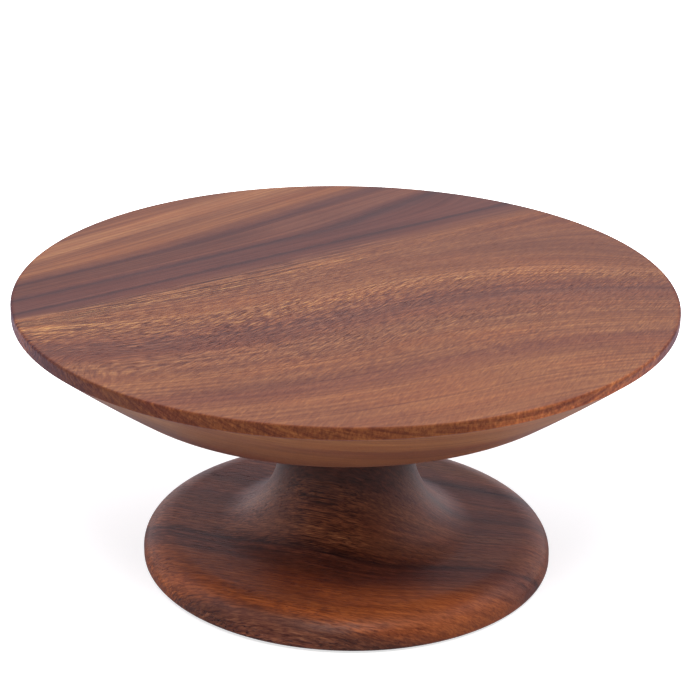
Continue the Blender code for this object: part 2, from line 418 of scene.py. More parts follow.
# Where each colour lies, in mm across the growth layers
PLATE_BANDS = (
    (-125, TAN), (-106, TAN), (-93, RUSSET), (-84, BROWN), (-72, TAN), (-60, BROWN), (-48, BROWN),
    (-38, RUSSET), (-28, UMBER), (-20, RUSSET), (-12, BROWN), (-7, TAN), (-3, HONEY), (4, TAN), (14, BROWN),
    (31, BROWN), (34, TAN), (38, BROWN), (45, UMBER), (51, PLUM), (54, DEEP), (56.5, PLUM), (66, PLUM),
    (69.5, DEEP), (72.5, PLUM), (76, UMBER), (88, UMBER), (93, SHADOW), (97, UMBER), (106, TAN),
    (118, BROWN), (130, PALE),
)
# Across the foot's front, the dark bands from -112 to -99 at its edge are partly painted shade, and the bright
# ones from -93 to -64 above it partly painted light.
PEDESTAL_BANDS = (
    (-112, COCOA), (-107, UMBER), (-99, UMBER), (-93, RED_BROWN), (-86, EMBER), (-64, EMBER),
    (-57, CHESTNUT), (-50, COCOA), (-48.5, BARK), (-46.5, COCOA), (-44.5, COCOA), (-42.5, INK), (-41, BARK),
    (-38, CHESTNUT), (-30, WALNUT), (-18, CHESTNUT), (-8, WALNUT), (2, COCOA), (12, CHESTNUT), (22, BARK),
    (28, COCOA), (40, CHESTNUT), (50, COCOA), (55, BARK), (58, INK), (61, BARK), (67, CHESTNUT), (76, TAN),
    (90, CHESTNUT), (110, COCOA),
)
BAND_WANDER = 0.008             # how far a band drifts from its place, end to end
WOOD_RELIEF = 0.00010


# ---------------------------------------------------------------- wood material
def wood_readings(tree):
    """What the vertices hold, and the noises along the fibres that colour, sheen and relief share.

    "grain" is (along, growth, depth), and "fleck" is (along, across, depth) of the short fibre streaks.
    "finish" is (bare end grain, calm smooth wood, strength of the figure).
    "marks" is (wavy lines, darker wood and painted shade, raw sawn edge and painted sheen).
    """
    wood = SimpleNamespace(grain=attribute(tree, "grain"), fleck=attribute(tree, "fleck"))
    wood.growth = components(tree, wood.grain)[1]
    wood.bare, wood.calm, figure = components(tree, attribute(tree, "finish"))
    wood.wavy, wood.darkened, wood.raw = components(tree, attribute(tree, "marks"))
    wood.lively = product(tree, scaled(tree, wood.calm, -0.75, 1.0), figure)
    wood.coarse = noise_at(tree, wood.fleck, (105, 530, 250), detail=2, roughness=0.55, distortion=0.3)
    wood.streak = noise_at(tree, wood.fleck, (185, 1120, 500), detail=3, roughness=0.62, distortion=0.2)
    wood.fibre = noise_at(tree, wood.fleck, (110, 2200, 900), detail=2, roughness=0.6)
    wood.speck = noise_at(tree, wood.fleck, (420, 700, 560), detail=3, roughness=0.6)
    wood.pore = wood_pores(tree, wood)
    return wood


def wood_pores(tree, wood):
    """Short dark pores, thick in some places and thin in others."""
    dots = noise_at(tree, wood.fleck, (240, 1500, 900), detail=1.5, roughness=0.6)
    spread = noise_at(tree, wood.fleck, (30, 60, 50), detail=1)
    amount = between(tree, spread, 0.35, 0.65, 0.25, 1.0)
    return product(tree, between(tree, dots, 0.56, 0.67), amount, wood.lively)


def wood_bands(tree, wood, bands, ragged):
    """Colour of the growth layers, with edges broken up along the fibres where the wood is figured.

    Past its first and last band the row of bands is read backwards.
    """
    broad = noise_at(tree, wood.grain, (11, 40, 25), detail=3)
    wander = scaled(tree, minus(tree, broad, 0.5), BAND_WANDER, wood.growth)
    feather = minus(tree, maths(tree, "ADD", wood.coarse, wood.streak), 1.0)
    wander = scaled(tree, product(tree, feather, wood.lively), ragged, wander)
    first, last = bands[0][0] / 1000, bands[-1][0] / 1000
    place = maths(tree, "PINGPONG", rescaled(tree, wander, first, last), 1.0)
    return ramp(tree, place, [((mm / 1000 - first) / (last - first), tone) for mm, tone in bands])


def wood_shade(tree, wood, streaks, lines):
    """Brightness inside the bands: fibre streaks where it is figured, long lines everywhere."""
    streaky = product(tree, between(tree, wood.streak, 0.30, 0.70, 1 - 0.45 * streaks, 1 + 0.45 * streaks),
                      between(tree, wood.coarse, 0.30, 0.70, 1 - 0.14 * streaks, 1 + 0.14 * streaks),
                      swing(tree, wood.fibre, 1.5 * streaks))
    shade = scaled(tree, minus(tree, streaky, 1.0), wood.lively, 1.0)
    line = noise_at(tree, wood.grain, (7, 560, 160), detail=4, roughness=0.65)
    stripe = noise_at(tree, wood.grain, (5, 230, 60), detail=1)
    patch = noise_at(tree, wood.grain, (18, 34, 40), detail=2)
    shade = product(tree, shade, swing(tree, line, lines), swing(tree, stripe, 0.40))
    shade = product(tree, shade, swing(tree, patch, 0.35), scaled(tree, wood.pore, -0.45, 1.0))
    # darkened holds darker wood, and painted shade on the neck under the plate and on the plate's underside
    shade = product(tree, shade, wood_ripple(tree, wood), scaled(tree, wood.darkened, -0.5, 1.0))
    return scaled(tree, product(tree, wood.calm, shade), 0.18, shade)


def wood_ripple(tree, wood):
    """Brightness of the wavy lines."""
    wave = noise_at(tree, wood.grain, (32, 1300, 800), detail=3, roughness=0.6, distortion=1.0)
    ripple = minus(tree, between(tree, wave, 0.36, 0.64), 0.5)
    return scaled(tree, ripple, product(tree, wood.wavy, 1.5), 1.0)


def toned(tree, shade, purple):
    """Brightness as a colour factor: the dark streaks turn purple and the light ones pink."""
    grey = node(tree, "ShaderNodeCombineXYZ", {0: shade, 1: shade, 2: shade}).outputs[0]
    powers = (1.0, purple, purple - 0.1)
    return node(tree, "ShaderNodeVectorMath", {0: grey, 1: powers}, operation="POWER").outputs[0]


def with_end_grain(tree, wood, colour):
    """Bare end grain around the rim, with a painted highlight as a pale line where it meets the oiled faces.
    The raw mark brightens the sawn wood and paints a sheen on the plate's bevel.
    """
    colour = blend(tree, wood.bare, colour, tinted(tree, colour, ramp(tree, wood.speck, END_GRAIN)))
    # painted highlight: a pale line where the bare rim meets the oiled faces
    painted_edge_highlight = product(tree, wood.bare, minus(tree, 1.0, wood.bare))
    colour = brighten(tree, colour, scaled(tree, painted_edge_highlight, 0.5, 1.0))
    # brighter sawn wood on the edge band, and a painted sheen on the plate's bevel
    return brighten(tree, colour, scaled(tree, wood.raw, swing(tree, wood.speck, 2.4), 1.0))


def wood_roughness(tree, wood):
    rough = scaled(tree, wood.pore, 0.20, scaled(tree, wood.fibre, 0.12, 0.36))
    return scaled(tree, wood.bare, 0.30, rough)


def wood_relief(tree, wood):
    """Sunken pores and raised streaks, and a grainy surface on the bare rim."""
    height = scaled(tree, wood.pore, -1.0, product(tree, wood.fibre, 0.5))
    height = product(tree, scaled(tree, wood.streak, 1.5, height), wood.lively)
    return scaled(tree, product(tree, wood.bare, wood.speck), 1.5, height)


def wood_material(name, bands, streaks=1.0, lines=1.9, purple=1.45, ragged=0.021, gloss=0.33, haze=0.02):
    """Oiled hardwood that runs through the solid, read from what the vertices hold."""
    material = new_material(name)
    tree = material.node_tree
    wood = wood_readings(tree)
    shade = wood_shade(tree, wood, streaks, lines)
    colour = tinted(tree, wood_bands(tree, wood, bands, ragged), toned(tree, shade, purple))
    glow = between(tree, noise_at(tree, wood.grain, (16, 50, 40), detail=2), 0.42, 0.70)
    colour = blend(tree, glow, colour, tinted(tree, colour, WARMTH))
    colour = with_end_grain(tree, wood, colour)
    sheen = {
        "Specular IOR Level": product(tree, scaled(tree, wood.bare, -0.60, 1.0), gloss),
        "Sheen Weight": scaled(tree, wood.bare, 0.14, haze),
        "Sheen Roughness": 0.45,
        "Sheen Tint": VEIL,
    }
    surface(tree, colour, wood_roughness(tree, wood), wood_relief(tree, wood), WOOD_RELIEF, **sheen)
    return material


# ---------------------------------------------------------------- plate
BOARD_ANGLE = radians(32)           # direction of the board's bands, seen from above
FLECK_ANGLE = radians(50)           # direction of the short fibre streaks at the centre
SWIRL_CENTRE = (-0.105, -0.085)     # the streaks bulge round this point near the -X rim
SWIRL_RADIUS = 0.025
SWIRL_PUSH = 0.012
DEPTH_SLOPE = 1.3                   # how fast the growth layers change with depth


def board_growth(along, across):
    """Growth layers of the board: straight on the far side, drooping towards +X on the near side."""
    droop = np.where(along > 0, -2.5, 1.3) * along ** 2
    droop_end = np.clip(-0.015 - 0.3 * along, -0.060, 0.030)
    near_side = smoothstep(0.0, 1.0, (0.044 - across) / (0.044 - droop_end))
    far_side = smoothstep(0.060, 0.100, across)
    fan = 0.16 * far_side + 0.065 * smoothstep(0.020, 0.045, across)
    return across - droop * near_side - fan * (along + 0.010)


def board_grain(places):
    x, y, z = places.T
    along = x * cos(BOARD_ANGLE) + y * sin(BOARD_ANGLE)
    across = y * cos(BOARD_ANGLE) - x * sin(BOARD_ANGLE)
    below = PLATE_TOP - z
    return np.stack([along, board_growth(along, across) + DEPTH_SLOPE * below, below], axis=1)


def board_flecks(places):
    """Directions of the short fibre streaks, which curve across the board and bulge round the swirl."""
    x, y, z = places.T
    along = x * cos(FLECK_ANGLE) + y * sin(FLECK_ANGLE)
    across = y * cos(FLECK_ANGLE) - x * sin(FLECK_ANGLE) - 1.27 * x ** 2 + 1.2 * y ** 2
    from_swirl = np.hypot(x - SWIRL_CENTRE[0], y - SWIRL_CENTRE[1]) / SWIRL_RADIUS
    across -= SWIRL_PUSH * np.exp(-from_swirl ** 2)
    return np.stack([along, across, PLATE_TOP - z], axis=1)


def plate_figure(x, y, growth):
    """Strength of the fibre streaks: full over the near middle, weak along the front and on the far side."""
    right_of_middle = smoothstep(0.0, 0.015, growth) * smoothstep(-0.010, 0.040, x)
    figure = 0.80 + 0.25 * smoothstep(0.110, -0.030, x)
    figure *= 0.52 + 0.48 * smoothstep(-0.125, -0.045, y)
    figure *= 1.0 - 0.82 * smoothstep(0.032, 0.048, growth)
    figure *= 0.75 + 0.38 * hump(growth, -0.075, -0.050, -0.008, 0.008)
    figure *= 1.0 - 0.25 * right_of_middle
    return figure


def plate_wavy(x, growth):
    """Where wavy lines show on the top: beyond the middle towards -X, and near the -X rim."""
    beyond_middle = hump(growth, 0.016, 0.030, 0.042, 0.050) * smoothstep(0.060, -0.040, x)
    left_rim = hump(growth, -0.020, 0.0, 0.020, 0.032) * smoothstep(-0.080, -0.110, x)
    return beyond_middle + left_rim


def plate_darkened(x, growth):
    """How much darker the top is than its bands, place by place. Below 0 it is lighter."""
    right = hump(growth, -0.005, 0.005, 0.040, 0.050) * smoothstep(-0.02, 0.06, x)
    far_band = hump(growth, 0.070, 0.082, 0.098, 0.106)
    far_band_left = far_band * smoothstep(-0.020, -0.060, x)
    far_band_right = far_band * smoothstep(0.010, 0.060, x)
    left_line = smoothstep(0.008, 0.0, abs(growth + 0.030) - 0.006) * smoothstep(-0.010, -0.040, x)
    far_left_end = smoothstep(0.114, 0.121, growth) * smoothstep(-0.040, -0.070, x)
    front_middle = smoothstep(-0.060, -0.075, growth) * smoothstep(0.07, 0.02, abs(x + 0.01))
    darkened = 0.20 * right + 0.42 * far_band_left - 0.22 * far_band_right
    return darkened + 0.22 * left_line + 0.25 * far_left_end + 0.17 * front_middle


def plate_raw_edge(x, y, below, band, bevel):
    """Bright sawn wood on the right of the edge band's front, darker wood on its left, and a painted sheen on
    the bevel below the right of the front.
    """
    turn = np.degrees(np.arctan2(y, x))
    right_front = hump(turn, -74, -58, -36, -20)
    left_front = hump(turn, -158, -144, -132, -118)
    worn_edge = 0.60 + 0.50 * smoothstep(0.0015, 0.0045, below)
    # the bevel term is a painted sheen, not sawn wood
    return band * (worn_edge * right_front - 0.26 * left_front) + 0.25 * right_front * bevel


def plate_profile():
    band_bottom = PLATE_TOP - EDGE_BAND
    bevel_end = Vector((BEVEL_END_RADIUS, PLATE_TOP - BEVEL_END_DEPTH))
    bevel_middle = (Vector((PLATE_RADIUS, band_bottom)) + bevel_end) / 2 - Vector((0, BEVEL_SWELL))
    drop = (bevel_middle - bevel_end).y / (bevel_middle - bevel_end).x
    knee_corner = (bevel_end.x - (bevel_end.y - PLATE_BOTTOM) / drop, PLATE_BOTTOM)
    knee_end = (BEVEL_END_RADIUS - KNEE_WIDTH, PLATE_BOTTOM)
    top = refined([(0.0, PLATE_TOP), (PLATE_RADIUS - 2 * EDGE_EASE, PLATE_TOP)], PLATE_TOP_GAP)
    edge = bend((PLATE_RADIUS - EDGE_EASE, PLATE_TOP), (PLATE_RADIUS, PLATE_TOP),
                (PLATE_RADIUS, PLATE_TOP - EDGE_EASE), steps=5)
    band = refined([(PLATE_RADIUS, PLATE_TOP - EDGE_EASE), (PLATE_RADIUS, band_bottom)], EDGE_BAND_GAP)[1:]
    bevel = bend(band[-1], bevel_middle, bevel_end, fullness=1.0, steps=34)[1:]
    knee = bend(bevel_end, knee_corner, knee_end, fullness=1.0, steps=8)[1:]
    flat = refined([knee[-1], (SOCKET_RADIUS, PLATE_BOTTOM)], HIDDEN_GAP)[1:]
    socket = [(SOCKET_RADIUS, SOCKET_TOP), (INSERT_HOLE_RADIUS, SOCKET_TOP)]
    insert_hole = [(INSERT_HOLE_RADIUS, INSERT_HOLE_TOP), (0.0, INSERT_HOLE_TOP)]
    return top + edge + band + bevel + knee + flat + socket + insert_hole


def store_plate_finish(plate, worn, radius, below):
    """Keep what the wood material reads at each vertex of the plate."""
    x, y = worn[:, 0], worn[:, 1]
    band = smoothstep(PLATE_RADIUS - 0.0016, PLATE_RADIUS - 0.0002, radius)
    band *= smoothstep(EDGE_BAND + 0.0012, EDGE_BAND - 0.0004, below)
    bevel = smoothstep(EDGE_BAND - 0.0004, EDGE_BAND + 0.0012, below)
    grain = board_grain(worn)
    growth = grain[:, 1]
    top_face = below < EDGE_EASE
    wavy = plate_wavy(x, growth) * top_face
    # the depth term is painted shade: darker towards the bottom of the bevel and on the underside
    darkened = plate_darkened(x, growth) * top_face + 0.50 * smoothstep(0.012, 0.034, below)
    store(plate, "grain", grain)
    store(plate, "fleck", board_flecks(worn))
    store(plate, "finish", np.stack([band, bevel, plate_figure(x, y, growth)], axis=1))
    store(plate, "marks", np.stack([wavy, darkened, plate_raw_edge(x, y, below, band, bevel)], axis=1))


def build_plate():
    plate = turned("oiled_plate", plate_profile(), PLATE_STEPS)
    hole_bottom, hole_top = PLATE_BOTTOM - PIN_DRILL_EXTRA, PLATE_BOTTOM + PIN_HOLE_DEPTH
    drill(plate, [hole_for(name, hole_bottom, hole_top) for name in DOWEL_PINS])
    drawn = positions(plate)
    radius = np.hypot(drawn[:, 0], drawn[:, 1])
    below = PLATE_TOP - drawn[:, 2]
    worn = drawn.copy()
    underside = smoothstep(0.060, 0.110, radius) * smoothstep(0.0, EDGE_BAND, below)
    worn[:, 2] += UNDERSIDE_TILT * drawn[:, 0] * underside
    move_vertices(plate, worn)
    store_plate_finish(plate, worn, radius, below)
    mount(plate, "plate", wood_material("plate_oiled_wood", PLATE_BANDS))


# ---------------------------------------------------------------- pedestal
def pedestal_grain(places):
    x, y, z = places.T
    along = x - 0.38 * y
    bend_back = 0.30 * x * smoothstep(-0.020, 0.050, x) * smoothstep(0.020, -0.030, y)
    growth = y + 0.38 * x - bend_back + 0.8 * (z - 0.017)
    return np.stack([along, growth, z], axis=1)


def pedestal_flecks(places):
    x, y, z = places.T
    return np.stack([x - 0.25 * y, y + 0.25 * x + 0.6 * z, z], axis=1)


def pedestal_figure(x, y, z):
    """Strength of the fibre streaks: more towards -X, and most along the front left of the foot's rim."""
    rim_left = smoothstep(0.012, 0.006, z) * smoothstep(0.030, -0.020, x) * smoothstep(-0.040, -0.070, y)
    return 0.6 + 0.4 * smoothstep(0.060, -0.010, x) + 0.9 * rim_left


def pedestal_wavy(x, y, z):
    """Where wavy lines show: up the front of the flare, and on the left of the foot's top."""
    front = hump(x, -0.030, -0.018, 0.004, 0.016) * smoothstep(0.0, -0.020, y)
    flare = front * hump(z, 0.018, 0.024, 0.046, 0.058)
    left_top = smoothstep(0.030, 0.015, np.hypot((x + 0.068) * 0.6, y + 0.010))
    return np.maximum(0.85 * flare, 0.45 * left_top)


def pedestal_outside(radius, height):
    """1 on the faces that show, 0 on the bore, the spigot and the hollow underside."""
    rim_or_above = np.maximum(smoothstep(0.0885, 0.0935, radius), smoothstep(0.005, 0.010, height))
    return rim_or_above * smoothstep(0.0275, 0.0310, radius)


def pedestal_profile():
    floor = FOOT_BOTTOM
    widest = (FOOT_RADIUS, floor + FOOT_EDGE_HEIGHT)
    shoulder = (SHOULDER_RADIUS, floor + SHOULDER_HEIGHT)
    flare = (FLARE_RADIUS, floor + FLARE_HEIGHT)
    flare_corner = (NECK_RADIUS + FLARE_LEAN, floor + FLARE_HEIGHT + FLARE_LEAN)
    waist_top = (NECK_RADIUS, floor + NECK_WAIST_TOP)
    head_start = (NECK_RADIUS, (NECK_HEAD + waist_top[1]) / 2)
    hollow_top = floor + HOLLOW_DEPTH
    bore = refined([(BORE_RADIUS, COUNTERBORE_TOP), (BORE_RADIUS, SPIGOT_TOP)], BORE_GAP)
    spigot = [(SPIGOT_RADIUS, SPIGOT_TOP), (SPIGOT_RADIUS, NECK_HEAD)]
    head = refined([spigot[-1], (NECK_HEAD_RADIUS, NECK_HEAD)], NECK_HEAD_GAP)[1:]
    head += bend(head[-1], head_start, waist_top, fullness=1.0)[1:]
    waist = refined([waist_top, (NECK_RADIUS, floor + NECK_BOTTOM)], PEDESTAL_GAP)[1:]
    sweep = bend(waist[-1], flare_corner, flare, fullness=FLARE_FULLNESS, steps=44)[1:]
    top = refined([flare, shoulder], PEDESTAL_GAP)[1:]
    edge = bend(shoulder, (FOOT_RADIUS, shoulder[1]), widest, steps=24)[1:]
    edge += refined([widest, (FOOT_RADIUS, floor + FOOT_UNDERCUT)], FOOT_EDGE_GAP)[1:]
    edge += bend(edge[-1], (FOOT_RADIUS, floor), (FOOT_RADIUS - FOOT_UNDERCUT, floor), steps=6)[1:]
    under = refined([edge[-1], (RIM_INNER_RADIUS, floor)], FOOT_RIM_GAP)[1:]
    under += [(RIM_INNER_RADIUS - HOLLOW_DEPTH, hollow_top)]
    under += refined([under[-1], (COUNTERBORE_RADIUS, hollow_top)], HIDDEN_GAP)[1:]
    seat = [(COUNTERBORE_RADIUS, COUNTERBORE_TOP)]
    return bore + spigot + head + waist + sweep + top + edge + under + seat


def store_pedestal_finish(pedestal, worn):
    """Keep what the wood material reads at each vertex of the pedestal. The neck is painted darker than the
    foot, as painted shade under the plate.
    """
    x, y, z = worn.T
    nothing = np.zeros_like(z)
    # painted shade: the neck darkens upwards, under the plate
    darkened = 1.35 * smoothstep(0.030, 0.056, z)
    store(pedestal, "grain", pedestal_grain(worn))
    store(pedestal, "fleck", pedestal_flecks(worn))
    store(pedestal, "finish", np.stack([nothing, nothing, pedestal_figure(x, y, z)], axis=1))
    store(pedestal, "marks", np.stack([pedestal_wavy(x, y, z), darkened, nothing], axis=1))


def build_pedestal():
    pedestal = turned("oiled_pedestal", pedestal_profile(), PEDESTAL_STEPS, closed=True)
    pad_hole_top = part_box("foot_pad_1")[1].z + FIT_GAP
    pin_bottom, pin_top = NECK_HEAD - PIN_HOLE_DEPTH, NECK_HEAD + PIN_DRILL_EXTRA
    holes = [hole_for(name, pin_bottom, pin_top) for name in DOWEL_PINS]
    holes += [hole_for(name, PAD_DRILL_BOTTOM, pad_hole_top) for name in FOOT_PADS]
    drill(pedestal, holes)
    drawn = positions(pedestal)
    height = drawn[:, 2]
    outside = pedestal_outside(np.hypot(drawn[:, 0], drawn[:, 1]), height)
    worn = drawn.copy()
    worn[:, 0] += PEDESTAL_LEAN * (1 - height / PLATE_TOP) * outside
    worn[:, 2] -= FOOT_TILT * drawn[:, 0] * outside * smoothstep(0.060, 0.030, height)
    move_vertices(pedestal, worn)
    store_pedestal_finish(pedestal, worn)
    wood = wood_material("pedestal_oiled_wood", PEDESTAL_BANDS, streaks=0.70, lines=1.8, purple=1.2,
                         ragged=0.006, gloss=0.22, haze=0.06)
    mount(pedestal, "pedestal", wood)


# ---------------------------------------------------------------- rings for the hardware
def ringed(name, rings, closed=False):
    """Solid through rings of (radius for each step, height), from top to bottom. Open ends are capped."""
    shape = bmesh.new()
    count = len(rings[0][0])
    turns = [2 * pi * step / count for step in range(count)]
    rows = []
    for radii, height in rings:
        rows.append([shape.verts.new((radius * cos(turn), radius * sin(turn), height))
                     for radius, turn in zip(radii, turns)])
    pairs = list(zip(rows, rows[1:]))
    if closed:
        pairs.append((rows[-1], rows[0]))
    else:
        shape.faces.new(rows[0])
        shape.faces.new(rows[-1])
    for upper, lower in pairs:
        for step in range(count):
            after = (step + 1) % count
            shape.faces.new((upper[step], upper[after], lower[after], lower[step]))
    bmesh.ops.recalc_face_normals(shape, faces=shape.faces)
    return finished(name, shape)


def round_rings(steps, *points):
    """One plain ring for each (radius, height) point."""
    return [([radius] * steps, height) for radius, height in points]


def toothed_rings(steps, teeth, depth, radius, *heights):
    """Rings with rounded grooves of this depth between their teeth."""
    grooves = [depth * (0.5 - 0.5 * cos(2 * pi * teeth * step / steps)) for step in range(steps)]
    radii = [radius - groove for groove in grooves]
    return [(radii, height) for height in heights]


def hexagon_rings(steps, corner_radius, *heights):
    sixth = pi / 3
    turns = [2 * pi * step / steps % sixth - sixth / 2 for step in range(steps)]
    radii = [corner_radius * cos(sixth / 2) / cos(turn) for turn in turns]
    return [(radii, height) for height in heights]


def thread_rings(steps, radius, top, bottom, fade, inside=False):
    """Rings of a screw thread that fades out over the length fade at its lower end."""
    rows = round((top - bottom) / THREAD_PITCH * THREAD_ROWS)
    sign = 1 if inside else -1
    rings = []
    for row in range(rows + 1):
        height = top + (bottom - top) * row / rows
        strength = THREAD_DEPTH * min(1.0, (height - bottom) / fade, (top - height) / fade + 0.2)
        radii = []
        for step in range(steps):
            place = (height / THREAD_PITCH - step / steps) % 1.0
            radii.append(radius + sign * strength * abs(2 * place - 1))
        rings.append((radii, height))
    return rings


def washer_section(inner, outer, top, bottom, ease=0.00025):
    """Corners of a washer's cross-section, with eased edges."""
    corners = [(inner + ease, top), (outer - ease, top), (outer, top - ease), (outer, bottom + ease),
               (outer - ease, bottom), (inner + ease, bottom), (inner, bottom + ease), (inner, top - ease)]
    return [Vector(corner) for corner in corners]


# ---------------------------------------------------------------- hardware
def build_bolt():
    """Socket-head bolt, head down: knurled head, hexagon socket, plain shank and a rolled thread."""
    steps = HARDWARE_STEPS
    shank, head, ease = BOLT_RADIUS, BOLT_HIGH.y, 0.0004
    tip, bottom = BOLT_HIGH.z, BOLT_LOW.z
    seat = bottom + BOLT_HEAD_HEIGHT
    socket_end = bottom + HEX_DEPTH
    rings = round_rings(steps, (shank - 0.0008, tip), (shank - 0.0002, tip - 0.0006))
    rings += thread_rings(steps, shank, tip - 0.0007, tip - THREAD_LENGTH, fade=0.0015)
    rings += round_rings(steps, (shank, seat + 0.0005), (shank + 0.0002, seat + 0.0001))
    rings += round_rings(steps, (head - ease, seat), (head - 0.0001, seat - ease))
    rings += toothed_rings(steps, BOLT_KNURLS, KNURL_DEPTH, head, seat - 0.0007, bottom + 0.0012)
    rings += round_rings(steps, (head - 0.0001, bottom + 0.0009), (head - 0.0006, bottom))
    rings += round_rings(steps, (HEX_CORNER + 0.0004, bottom))
    rings += hexagon_rings(steps, HEX_CORNER, bottom + 0.0003, socket_end)
    rings += round_rings(steps, (0.0004, socket_end + 0.0008))
    mount(ringed("steel_bolt", rings), "centre_bolt", metal_material("bolt_zinc", ZINC, 0.30))


def build_flat_washer():
    low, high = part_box("flat_washer")
    section = washer_section(WASHER_BORE, high.y, high.z, low.z)
    washer = turned("flat_washer_ring", section, HARDWARE_STEPS, closed=True)
    mount(washer, "flat_washer", metal_material("flat_washer_zinc", ZINC, 0.34))


def build_lock_washer():
    """One turn of spring steel with a slanted slit on the +X side."""
    low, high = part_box("lock_washer")
    section = washer_section(WASHER_BORE, high.y, high.z, low.z)
    middle = (low.z + high.z) / 2
    steps = 90
    shape = bmesh.new()
    rows = []
    for step in range(steps + 1):
        row = []
        for radius, height in section:
            slant = SLIT_SLANT * (height - middle) / radius
            half_slit = SLIT_WIDTH / 2 / radius
            start, end = half_slit + slant, 2 * pi - half_slit + slant
            turn = start + (end - start) * step / steps
            row.append(shape.verts.new((radius * cos(turn), radius * sin(turn), height)))
        rows.append(row)
    for before, after in zip(rows, rows[1:]):
        for corner in range(len(section)):
            following = (corner + 1) % len(section)
            shape.faces.new((before[corner], before[following], after[following], after[corner]))
    shape.faces.new(rows[0])
    shape.faces.new(rows[-1])
    bmesh.ops.recalc_face_normals(shape, faces=shape.faces)
    washer = finished("lock_washer_spring", shape)
    mount(washer, "lock_washer", metal_material("lock_washer_zinc", ZINC, 0.38))


def build_insert():
    """Brass insert with four knurled barbs outside and a thread inside."""
    low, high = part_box("threaded_insert")
    steps = HARDWARE_STEPS
    bottom, top, flange_top = low.z, high.z, low.z + INSERT_FLANGE
    outer, core, mouth = high.y, high.y - 0.0010, WASHER_BORE + 0.0004
    pitch = (top - bottom - INSERT_FLANGE) / INSERT_BARBS
    rings = []
    for barb in range(INSERT_BARBS):
        start = top - barb * pitch
        rings += round_rings(steps, (core, start - 0.0002))
        rings += toothed_rings(steps, INSERT_KNURLS, INSERT_KNURL_DEPTH, outer, start - 0.75 * pitch,
                               start - 0.82 * pitch)
        rings += round_rings(steps, (core, start - 0.90 * pitch))
    rings += round_rings(steps, (core, flange_top), (outer - 0.0002, flange_top))
    rings += round_rings(steps, (outer, flange_top - 0.0002), (outer, bottom + 0.0002))
    rings += round_rings(steps, (outer - 0.0002, bottom), (mouth, bottom))
    bore = thread_rings(steps, WASHER_BORE - 0.0002, top - 0.0005, bottom + 0.0005, fade=0.0010, inside=True)
    rings += bore[::-1] + round_rings(steps, (mouth, top), (outer - 0.0012, top))
    insert = ringed("brass_insert", rings, closed=True)
    mount(insert, "threaded_insert", metal_material("insert_brass_finish", BRASS, 0.28))


def build_dowels():
    """Fluted beech dowels with chamfered ends."""
    material = beech_material()
    steps, ease = DOWEL_STEPS, 0.0008
    for name in DOWEL_PINS:
        low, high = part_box(name)
        radius = (high.x - low.x) / 2
        rings = round_rings(steps, (radius - ease, high.z), (radius - 0.0002, high.z - ease))
        rings += toothed_rings(steps, DOWEL_FLUTES, DOWEL_FLUTE_DEPTH, radius, high.z - ease - 0.0004,
                               low.z + ease + 0.0004)
        rings += round_rings(steps, (radius - 0.0002, low.z + ease), (radius - ease, low.z))
        pin = ringed("fluted_" + name, rings)
        stand_over(pin, name)
        mount(pin, name, material)


def build_pads():
    """Rubber pads with a rounded lower edge and fine grip rings in their flat faces."""
    material = rubber_material()
    for name in FOOT_PADS:
        low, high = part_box(name)
        radius = (high.x - low.x) / 2
        profile = [(0.0, high.z), (radius - 0.0002, high.z), (radius, high.z - 0.0002)]
        profile += bend((radius, low.z + 0.0007), (radius, low.z), (radius - 0.0007, low.z), steps=8)
        for groove in PAD_GROOVES:
            floor = low.z + PAD_GROOVE_DEPTH
            profile += [(groove + 0.0004, low.z), (groove + 0.0002, floor)]
            profile += [(groove - 0.0002, floor), (groove - 0.0004, low.z)]
        pad = turned("rubber_" + name, profile + [(0.0, low.z)], PAD_STEPS)
        stand_over(pad, name)
        mount(pad, name, material)


# ---------------------------------------------------------------- hardware materials
ZINC = srgb(196, 198, 202)
BRASS = srgb(206, 168, 96)
GRIME = srgb(190, 180, 165)
BEECH_TONES = ((0.30, srgb(178, 134, 88)), (0.55, srgb(208, 168, 120)), (0.75, srgb(222, 188, 144)))
BEECH_FLECK = srgb(140, 92, 56)
RUBBER_TONES = ((0.35, srgb(40, 38, 37)), (0.70, srgb(58, 55, 53)))


def metal_material(name, tone, roughness):
    """Plated or turned metal with fine turning marks and faint staining."""
    material = new_material(name)
    tree = material.node_tree
    place = object_place(tree)
    stain = noise_at(tree, place, (350, 350, 350), detail=4, roughness=0.6)
    marks = noise_at(tree, place, (300, 300, 9000), detail=2)
    colour = blend(tree, between(tree, stain, 0.40, 0.75, 0.0, 0.3), tone, tinted(tree, tone, GRIME))
    rough = scaled(tree, stain, 0.22, scaled(tree, marks, 0.10, roughness - 0.12))
    surface(tree, colour, rough, marks, 0.00002, Metallic=1.0)
    return material


def beech_material():
    """Pale beech with short flecks along the pin."""
    material = new_material("beech_pin")
    tree = material.node_tree
    place = object_place(tree)
    fibre = noise_at(tree, place, (2200, 2200, 90), detail=3, roughness=0.6)
    fleck = between(tree, noise_at(tree, place, (1500, 1500, 260), detail=1), 0.58, 0.68)
    colour = blend(tree, product(tree, fleck, 0.5), ramp(tree, fibre, BEECH_TONES), BEECH_FLECK)
    surface(tree, colour, swing(tree, fibre, 0.3), fibre, 0.00004)
    return material


def rubber_material():
    """Matt dark rubber with a little bloom."""
    material = new_material("matt_rubber")
    tree = material.node_tree
    place = object_place(tree)
    bloom = noise_at(tree, place, (260, 260, 260), detail=5, roughness=0.6)
    grit = noise_at(tree, place, (5200, 5200, 5200), detail=2)
    surface(tree, ramp(tree, bloom, RUBBER_TONES), scaled(tree, bloom, 0.25, 0.62), grit, 0.00003)
    return material


# ---------------------------------------------------------------- stage
VIEW_ELEVATION = radians(22.55)
VIEW_ROLL = radians(0.875)
VIEW_DISTANCE = 1.0
VIEW_TARGET = Vector((0.0022, 0.0, 0.1036))
VIEW_LENS = 112.7
SENSOR_WIDTH = 36.0
FLOOR_SIZE = 8.0
PAPER = srgb(190, 190, 190)
SKY_TINT = (1.0, 0.95, 1.04, 1.0)
SIDE_TINT = (0.96, 0.91, 1.0)


